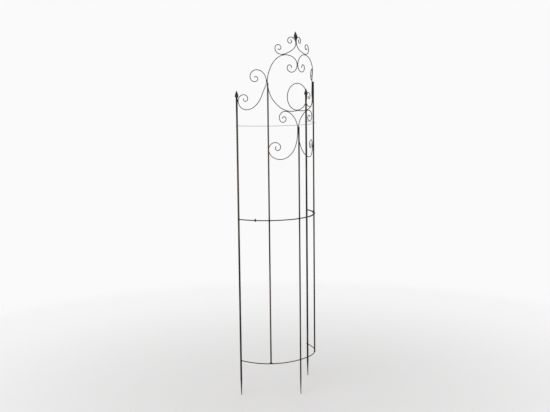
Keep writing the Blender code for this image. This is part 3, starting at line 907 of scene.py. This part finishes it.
def upper_welds(work):
    """Beads where a scroll wire or the ring touches its neighbours, and at the posts' feet and finials."""
    scrolls = [scroll_points(name, sign) for name in SCROLLS for sign in (1, -1)]
    ring = ring_points()
    lines = [refined(points, WELD_LINE_REFINE) for points in scrolls] + [ring + ring[:1]]
    members = [(line, SCROLL_WIRE_RADIUS) for line in lines]
    posts = [post_line("upper_" + post) for post in POSTS]
    seed = 0
    for index, (line, radius) in enumerate(members):
        for other, other_radius in members[index + 1:] + posts:
            for place, along, normal in touching_places(line, radius, other, other_radius):
                seed += 1
                add_bead(work, place, along, normal, SCROLL_BEAD, seed)
    for foot_seed, (line, radius) in enumerate(posts, UPPER_FOOT_SEED):
        add_foot_bead(work, line[0] + Vector((0, 0, WELD_GAP)), radius, POST_END_BEAD, foot_seed)
    for foot_seed, side in enumerate(("left", "right"), FINIAL_FOOT_SEED):
        line, radius = post_line("upper_end_post_" + side)
        add_foot_bead(work, line[1], radius, FINIAL_FOOT_BEAD, foot_seed)
    add_fork_bead(work, seed + 1)


# Materials


class Shading:
    """A material's node tree, with short calls for the nodes that the finishes here share."""

    def __init__(self, name):
        self.material = bpy.data.materials.new(name)
        self.material.use_nodes = True
        self.tree = self.material.node_tree
        self.tree.nodes.clear()
        self.output = self.tree.nodes.new("ShaderNodeOutputMaterial")
        self.shader = self.tree.nodes.new("ShaderNodeBsdfPrincipled")
        self.tree.links.new(self.shader.outputs["BSDF"], self.output.inputs["Surface"])
        self.place = self.tree.nodes.new("ShaderNodeTexCoord").outputs["Object"]

    def feed(self, socket, value):
        if isinstance(value, bpy.types.NodeSocket):
            self.tree.links.new(value, socket)
        else:
            socket.default_value = value

    def stretched(self, scale):
        node = self.tree.nodes.new("ShaderNodeMapping")
        self.feed(node.inputs["Vector"], self.place)
        node.inputs["Scale"].default_value = scale
        return node.outputs["Vector"]

    def noise(self, scale, detail=3.0, roughness=0.55, stretch=(1, 1, 1)):
        node = self.tree.nodes.new("ShaderNodeTexNoise")
        self.feed(node.inputs["Vector"], self.stretched(stretch))
        node.inputs["Scale"].default_value = scale
        node.inputs["Detail"].default_value = detail
        node.inputs["Roughness"].default_value = roughness
        return node.outputs["Fac"]

    def cells(self, scale, smoothness=0.6):
        node = self.tree.nodes.new("ShaderNodeTexVoronoi")
        node.feature = "SMOOTH_F1"
        self.feed(node.inputs["Vector"], self.place)
        node.inputs["Scale"].default_value = scale
        node.inputs["Smoothness"].default_value = smoothness
        return node.outputs["Distance"]

    def share(self, value, low, high, result_low=0.0, result_high=1.0):
        node = self.tree.nodes.new("ShaderNodeMapRange")
        node.interpolation_type = "SMOOTHSTEP"
        self.feed(node.inputs["Value"], value)
        limits = {"From Min": low, "From Max": high, "To Min": result_low, "To Max": result_high}
        for socket, number in limits.items():
            node.inputs[socket].default_value = number
        return node.outputs["Result"]

    def combine(self, operation, first, second):
        node = self.tree.nodes.new("ShaderNodeMath")
        node.operation = operation
        node.use_clamp = True
        self.feed(node.inputs[0], first)
        self.feed(node.inputs[1], second)
        return node.outputs[0]

    def mix(self, share, first, second):
        node = self.tree.nodes.new("ShaderNodeMix")
        node.data_type = "RGBA"
        self.feed(node.inputs["Factor"], share)
        colours = [socket for socket in node.inputs if socket.type == "RGBA"]
        for socket, colour in zip(colours, (first, second)):
            self.feed(socket, (*colour, 1) if isinstance(colour, tuple) else colour)
        return next(socket for socket in node.outputs if socket.type == "RGBA")

    def attribute(self, name):
        node = self.tree.nodes.new("ShaderNodeAttribute")
        node.attribute_name = name
        return node.outputs["Fac"]

    def bump(self, height, distance, strength=1.0, below=None):
        node = self.tree.nodes.new("ShaderNodeBump")
        self.feed(node.inputs["Height"], height)
        node.inputs["Distance"].default_value = distance
        node.inputs["Strength"].default_value = strength
        if below is not None:
            self.feed(node.inputs["Normal"], below)
        return node.outputs["Normal"]

    def finish(self, colour, roughness, metallic, normal, specular):
        self.feed(self.shader.inputs["Base Color"], colour)
        self.feed(self.shader.inputs["Roughness"], roughness)
        self.feed(self.shader.inputs["Metallic"], metallic)
        self.feed(self.shader.inputs["Normal"], normal)
        self.shader.inputs["Specular IOR Level"].default_value = specular
        return self.material


# Scales of the finishes' patterns, about as many spots to a metre, and depths of their relief
MOTTLE_SCALE = 380
PATCH_SCALE = 9
STREAK_SCALE = 42
SPECKLE_SCALE = 1100
HAMMER_SCALE = 330
HAMMER_DEPTH = 0.00016
GRAIN_DEPTH = 0.00004
CHIP_DEPTH = 0.00006
DRAWING_MARK_SCALE = 900
DRAWING_MARK_DEPTH = 0.00003
DULL_PATCH_SCALE = 70
GRIME_SCALE = 420
GRIME_DEPTH = 0.00004
FLOOR_SPOT_SCALE = 6

# Bands of the patterns: (pattern from, to) or (pattern from, to, result from, to)
TONE_BAND = (0.35, 0.70)
WORKED_BAND = (0.32, 0.58, 0.45, 1.0)
OLIVE_BAND = (0.54, 0.66, 0, 0.5)
WARM_PATCH_BAND = (0.48, 0.34)
WARM_STREAK_BAND = (0.40, 0.62)
RUBBED_STREAK_BAND = (0.62, 0.80, 0, 0.8)
RUB_MOTTLE_BAND = (0.34, 0.60, 0.25, 1.0)
CHIPPED_WEAR_BAND = (0.55, 0.90)
CHIPPED_SPECKLE_BAND = (0.44, 0.58)
RUST_BAND = (0.46, 0.56)
GRIT_BAND = (0.45, 0.8, 0, 0.10)
PAINT_ROUGHNESS = (0.30, 0.75, 0.46, 0.64)
WIRE_DULL_BAND = (0.38, 0.66)
WIRE_ROUGHNESS = (0.3, 0.7, 0.34, 0.56)
WIRE_METALLIC = (0.3, 0.7, 0.85, 0.65)
ZINC_DULL_BAND = (0.5, 0.64)
ZINC_RUST_BAND = (0.66, 0.74, 0, 0.7)
ZINC_ROUGHNESS = (0.3, 0.7, 0.38, 0.62)
ZINC_METALLIC = (0.45, 0.70, 0.8, 0.3)
FLOOR_ROUGHNESS = (0.3, 0.7, 0.42, 0.5)

# How much rub shows where wear is kept, and how far it smooths the paint and bares the metal
RUB_FROM_WEAR = 0.9
RUB_POLISH = 0.12
RUB_METALLIC = 0.55

# Colours, as linear red, green and blue
BLACK_BROWN = (0.0070, 0.0062, 0.0058)
DARK_BRONZE = (0.0150, 0.0120, 0.0100)
WARM_BRONZE = (0.0900, 0.0560, 0.0340)
OLIVE_GREY = (0.0850, 0.0760, 0.0530)
REDDISH_BROWN = (0.1100, 0.0620, 0.0440)
BARE_STEEL = (0.2900, 0.2750, 0.2550)
RUST = (0.1500, 0.0560, 0.0230)
ZINC_WIRE = (0.1300, 0.1280, 0.1230)
ZINC_DULL = (0.0600, 0.0590, 0.0570)
DARK_ZINC = (0.0650, 0.0610, 0.0580)


def bronze_paint(name, rubbed):
    """Dark antique bronze paint: mottled, rubbed to warmer tones in patches, chipped where wear is kept."""
    made = Shading(name)
    wear = made.attribute("wear")
    mottle = made.noise(MOTTLE_SCALE, detail=4, roughness=0.6)
    patches = made.noise(PATCH_SCALE, stretch=(1, 1, 0.8))
    streaks = made.noise(STREAK_SCALE, roughness=0.5, stretch=(1, 1, 0.22))
    speckle = made.noise(SPECKLE_SCALE, detail=2, roughness=0.7)
    worked = made.share(mottle, *WORKED_BAND)
    colour = made.mix(made.share(mottle, *TONE_BAND), BLACK_BROWN, DARK_BRONZE)
    olive = made.combine("MAXIMUM", made.attribute("olive"), made.share(patches, *OLIVE_BAND))
    colour = made.mix(made.combine("MULTIPLY", olive, worked), colour, OLIVE_GREY)
    warm_patches = made.share(patches, *[limit - rubbed for limit in WARM_PATCH_BAND])
    warm = made.combine("MULTIPLY", warm_patches, made.share(streaks, *WARM_STREAK_BAND))
    warm = made.combine("MAXIMUM", made.attribute("reddish"), warm)
    colour = made.mix(made.combine("MULTIPLY", warm, worked), colour, REDDISH_BROWN)
    worn = made.combine("MULTIPLY", wear, RUB_FROM_WEAR)
    streak_from, *streak_to = RUBBED_STREAK_BAND
    rub = made.combine("ADD", worn, made.share(streaks, streak_from - rubbed, *streak_to))
    rub = made.combine("MULTIPLY", rub, made.share(mottle, *RUB_MOTTLE_BAND))
    colour = made.mix(rub, colour, WARM_BRONZE)
    chipped = made.share(wear, *CHIPPED_WEAR_BAND)
    chipped = made.combine("MULTIPLY", chipped, made.share(speckle, *CHIPPED_SPECKLE_BAND))
    colour = made.mix(chipped, colour, made.mix(made.share(mottle, *RUST_BAND), BARE_STEEL, RUST))
    roughness = made.combine("ADD", made.share(mottle, *PAINT_ROUGHNESS), made.share(speckle, *GRIT_BAND))
    roughness = made.combine("SUBTRACT", roughness, made.combine("MULTIPLY", rub, RUB_POLISH))
    metallic = made.combine("MULTIPLY", rub, RUB_METALLIC)
    hammered = made.bump(made.cells(HAMMER_SCALE), HAMMER_DEPTH, strength=0.8)
    grain = made.bump(speckle, GRAIN_DEPTH, strength=0.7, below=hammered)
    normal = made.bump(chipped, CHIP_DEPTH, strength=0.6, below=grain)
    return made.finish(colour, roughness, metallic, normal, specular=0.16)


def galvanised_wire():
    """Zinc coated wire with dull patches and drawing marks."""
    made = Shading("galvanised_wire")
    patches = made.noise(DULL_PATCH_SCALE, roughness=0.6)
    marks = made.noise(DRAWING_MARK_SCALE, detail=2, roughness=0.6, stretch=(1, 1, 3))
    colour = made.mix(made.share(patches, *WIRE_DULL_BAND), ZINC_WIRE, ZINC_DULL)
    roughness = made.share(marks, *WIRE_ROUGHNESS)
    normal = made.bump(marks, DRAWING_MARK_DEPTH, strength=0.6)
    metallic = made.share(patches, *WIRE_METALLIC)
    return made.finish(colour, roughness, metallic, normal, specular=0.5)


def blackened_zinc():
    """Dark plated fasteners, a little duller in spots where wear is kept, with a touch of rust."""
    made = Shading("blackened_zinc")
    wear = made.attribute("wear")
    grime = made.noise(GRIME_SCALE, detail=4, roughness=0.65)
    worn = made.combine("MULTIPLY", wear, made.share(grime, *ZINC_DULL_BAND))
    colour = made.mix(worn, DARK_ZINC, ZINC_DULL)
    colour = made.mix(made.share(grime, *ZINC_RUST_BAND), colour, RUST)
    roughness = made.share(grime, *ZINC_ROUGHNESS)
    normal = made.bump(grime, GRIME_DEPTH, strength=0.6)
    metallic = made.share(grime, *ZINC_METALLIC)
    return made.finish(colour, roughness, metallic, normal, specular=0.4)


def floor_material():
    """A pale floor with painted shade, greyer round the object, that fades into the background."""
    made = Shading("pale_floor")
    tree = made.tree
    length = tree.nodes.new("ShaderNodeVectorMath")
    length.operation = "LENGTH"
    tree.links.new(made.place, length.inputs[0])
    distance = length.outputs["Value"]
    # Painted shade: the floor's colour is greyer near the object and lighter far off
    colour = made.mix(made.share(distance, *FLOOR_PAINTED_SHADE_FADE), FLOOR_PAINTED_SHADE_TONE, FLOOR_FAR_TONE)
    roughness = made.share(made.noise(FLOOR_SPOT_SCALE), *FLOOR_ROUGHNESS)
    made.feed(made.shader.inputs["Base Color"], colour)
    made.feed(made.shader.inputs["Roughness"], roughness)
    made.shader.inputs["Specular IOR Level"].default_value = FLOOR_SPECULAR
    shown = tree.nodes.new("ShaderNodeEmission")
    shown.inputs["Color"].default_value = (*BACKDROP_TONE, 1)
    blend = tree.nodes.new("ShaderNodeMixShader")
    beyond = made.combine("MULTIPLY", made.share(distance, *BACKDROP_FADE), seen_rays(tree))
    tree.links.new(beyond, blend.inputs["Fac"])
    tree.links.new(made.shader.outputs["BSDF"], blend.inputs[1])
    tree.links.new(shown.outputs["Emission"], blend.inputs[2])
    tree.links.new(blend.outputs["Shader"], made.output.inputs["Surface"])
    return made.material


# Scene


def add_camera():
    data = bpy.data.cameras.new("photo_camera")
    data.lens = CAMERA_LENS_MM
    data.sensor_width = CAMERA_SENSOR_MM
    data.shift_x = CAMERA_SHIFT
    data.clip_end = CAMERA_REACH
    camera = bpy.data.objects.new("photo_camera", data)
    turn = Matrix.Rotation(CAMERA_HEADING, 4, "Z")
    turn @= Matrix.Rotation(pi / 2 - CAMERA_PITCH, 4, "X")
    turn @= Matrix.Rotation(CAMERA_ROLL, 4, "Z")
    camera.matrix_world = Matrix.Translation(CAMERA_PLACE) @ turn
    bpy.context.scene.collection.objects.link(camera)
    bpy.context.scene.camera = camera


def seen_rays(tree):
    """1 for rays that show what they meet: from the camera, from a gloss and through glass."""
    rays = tree.nodes.new("ShaderNodeLightPath")
    seen = rays.outputs["Is Camera Ray"]
    for kind in ("Is Glossy Ray", "Is Transmission Ray"):
        either = tree.nodes.new("ShaderNodeMath")
        either.operation = "MAXIMUM"
        tree.links.new(seen, either.inputs[0])
        tree.links.new(rays.outputs[kind], either.inputs[1])
        seen = either.outputs[0]
    return seen


def add_light():
    world = bpy.data.worlds.new("soft_studio")
    bpy.context.scene.world = world
    world.use_nodes = True
    tree = world.node_tree
    tree.nodes.clear()
    output = tree.nodes.new("ShaderNodeOutputWorld")
    lighting = tree.nodes.new("ShaderNodeBackground")
    lighting.inputs["Color"].default_value = (1, 1, 1, 1)
    lighting.inputs["Strength"].default_value = SKY_LIGHT
    shown = tree.nodes.new("ShaderNodeBackground")
    shown.inputs["Color"].default_value = (1, 1, 1, 1)
    shown.inputs["Strength"].default_value = SKY_SHOWN
    blend = tree.nodes.new("ShaderNodeMixShader")
    tree.links.new(seen_rays(tree), blend.inputs["Fac"])
    tree.links.new(lighting.outputs["Background"], blend.inputs[1])
    tree.links.new(shown.outputs["Background"], blend.inputs[2])
    tree.links.new(blend.outputs["Shader"], output.inputs["Surface"])
    data = bpy.data.lights.new("soft_sun", "SUN")
    data.energy = SUN_STRENGTH
    data.angle = SUN_SPREAD
    sun = bpy.data.objects.new("soft_sun", data)
    sun.rotation_euler = SUN_TURN
    bpy.context.scene.collection.objects.link(sun)


def add_floor():
    work = bmesh.new()
    bmesh.ops.create_circle(work, cap_ends=True, segments=FLOOR_SIDES, radius=FLOOR_RADIUS)
    mesh = bpy.data.meshes.new("floor")
    work.to_mesh(mesh)
    work.free()
    floor_object = link_piece(mesh, "floor", floor_material())
    floor_object.location.z = -FLOOR_DROP


def build():
    bpy.context.scene.view_settings.view_transform = "Standard"
    add_camera()
    add_light()
    add_floor()
    plain = bronze_paint("bronze_paint_look", rubbed=0.0)
    rubbed = bronze_paint("rubbed_bronze_look", rubbed=0.05)
    zinc = blackened_zinc()
    for section in ("lower_", "upper_"):
        for post in POSTS:
            node = section + post
            post_piece(node, rubbed if SLOT_OF[node] == "rubbed_bronze" else plain)
        joint_hoop_piece(section + "joint_hoop", plain)
    wire_piece("bottom_hoop", bottom_hoop_points(), HOOP_WIRE_RADIUS, plain)
    wire_piece("tie_wire", tie_wire_points(), TIE_WIRE_RADIUS, galvanised_wire(), TIE_WIRE_SIDES)
    wire_piece("centre_ring", ring_points(), SCROLL_WIRE_RADIUS, plain, closed=True)
    for name in SCROLLS:
        for side, sign in (("left", 1), ("right", -1)):
            wire_piece(name + "_" + side, refined(scroll_points(name, sign)), SCROLL_WIRE_RADIUS, plain)
    for node in ("end_finial_left", "end_finial_right", "crown_finial"):
        finial_piece(node, rubbed)
    for side in ("left", "right"):
        bolt_piece("joint_bolt_" + side, zinc)
        nut_piece("joint_nut_" + side, zinc)
    weld_piece("lower_weld_beads", "lower_section", plain, lower_welds)
    weld_piece("upper_weld_beads", "upper_section", plain, upper_welds)


build()
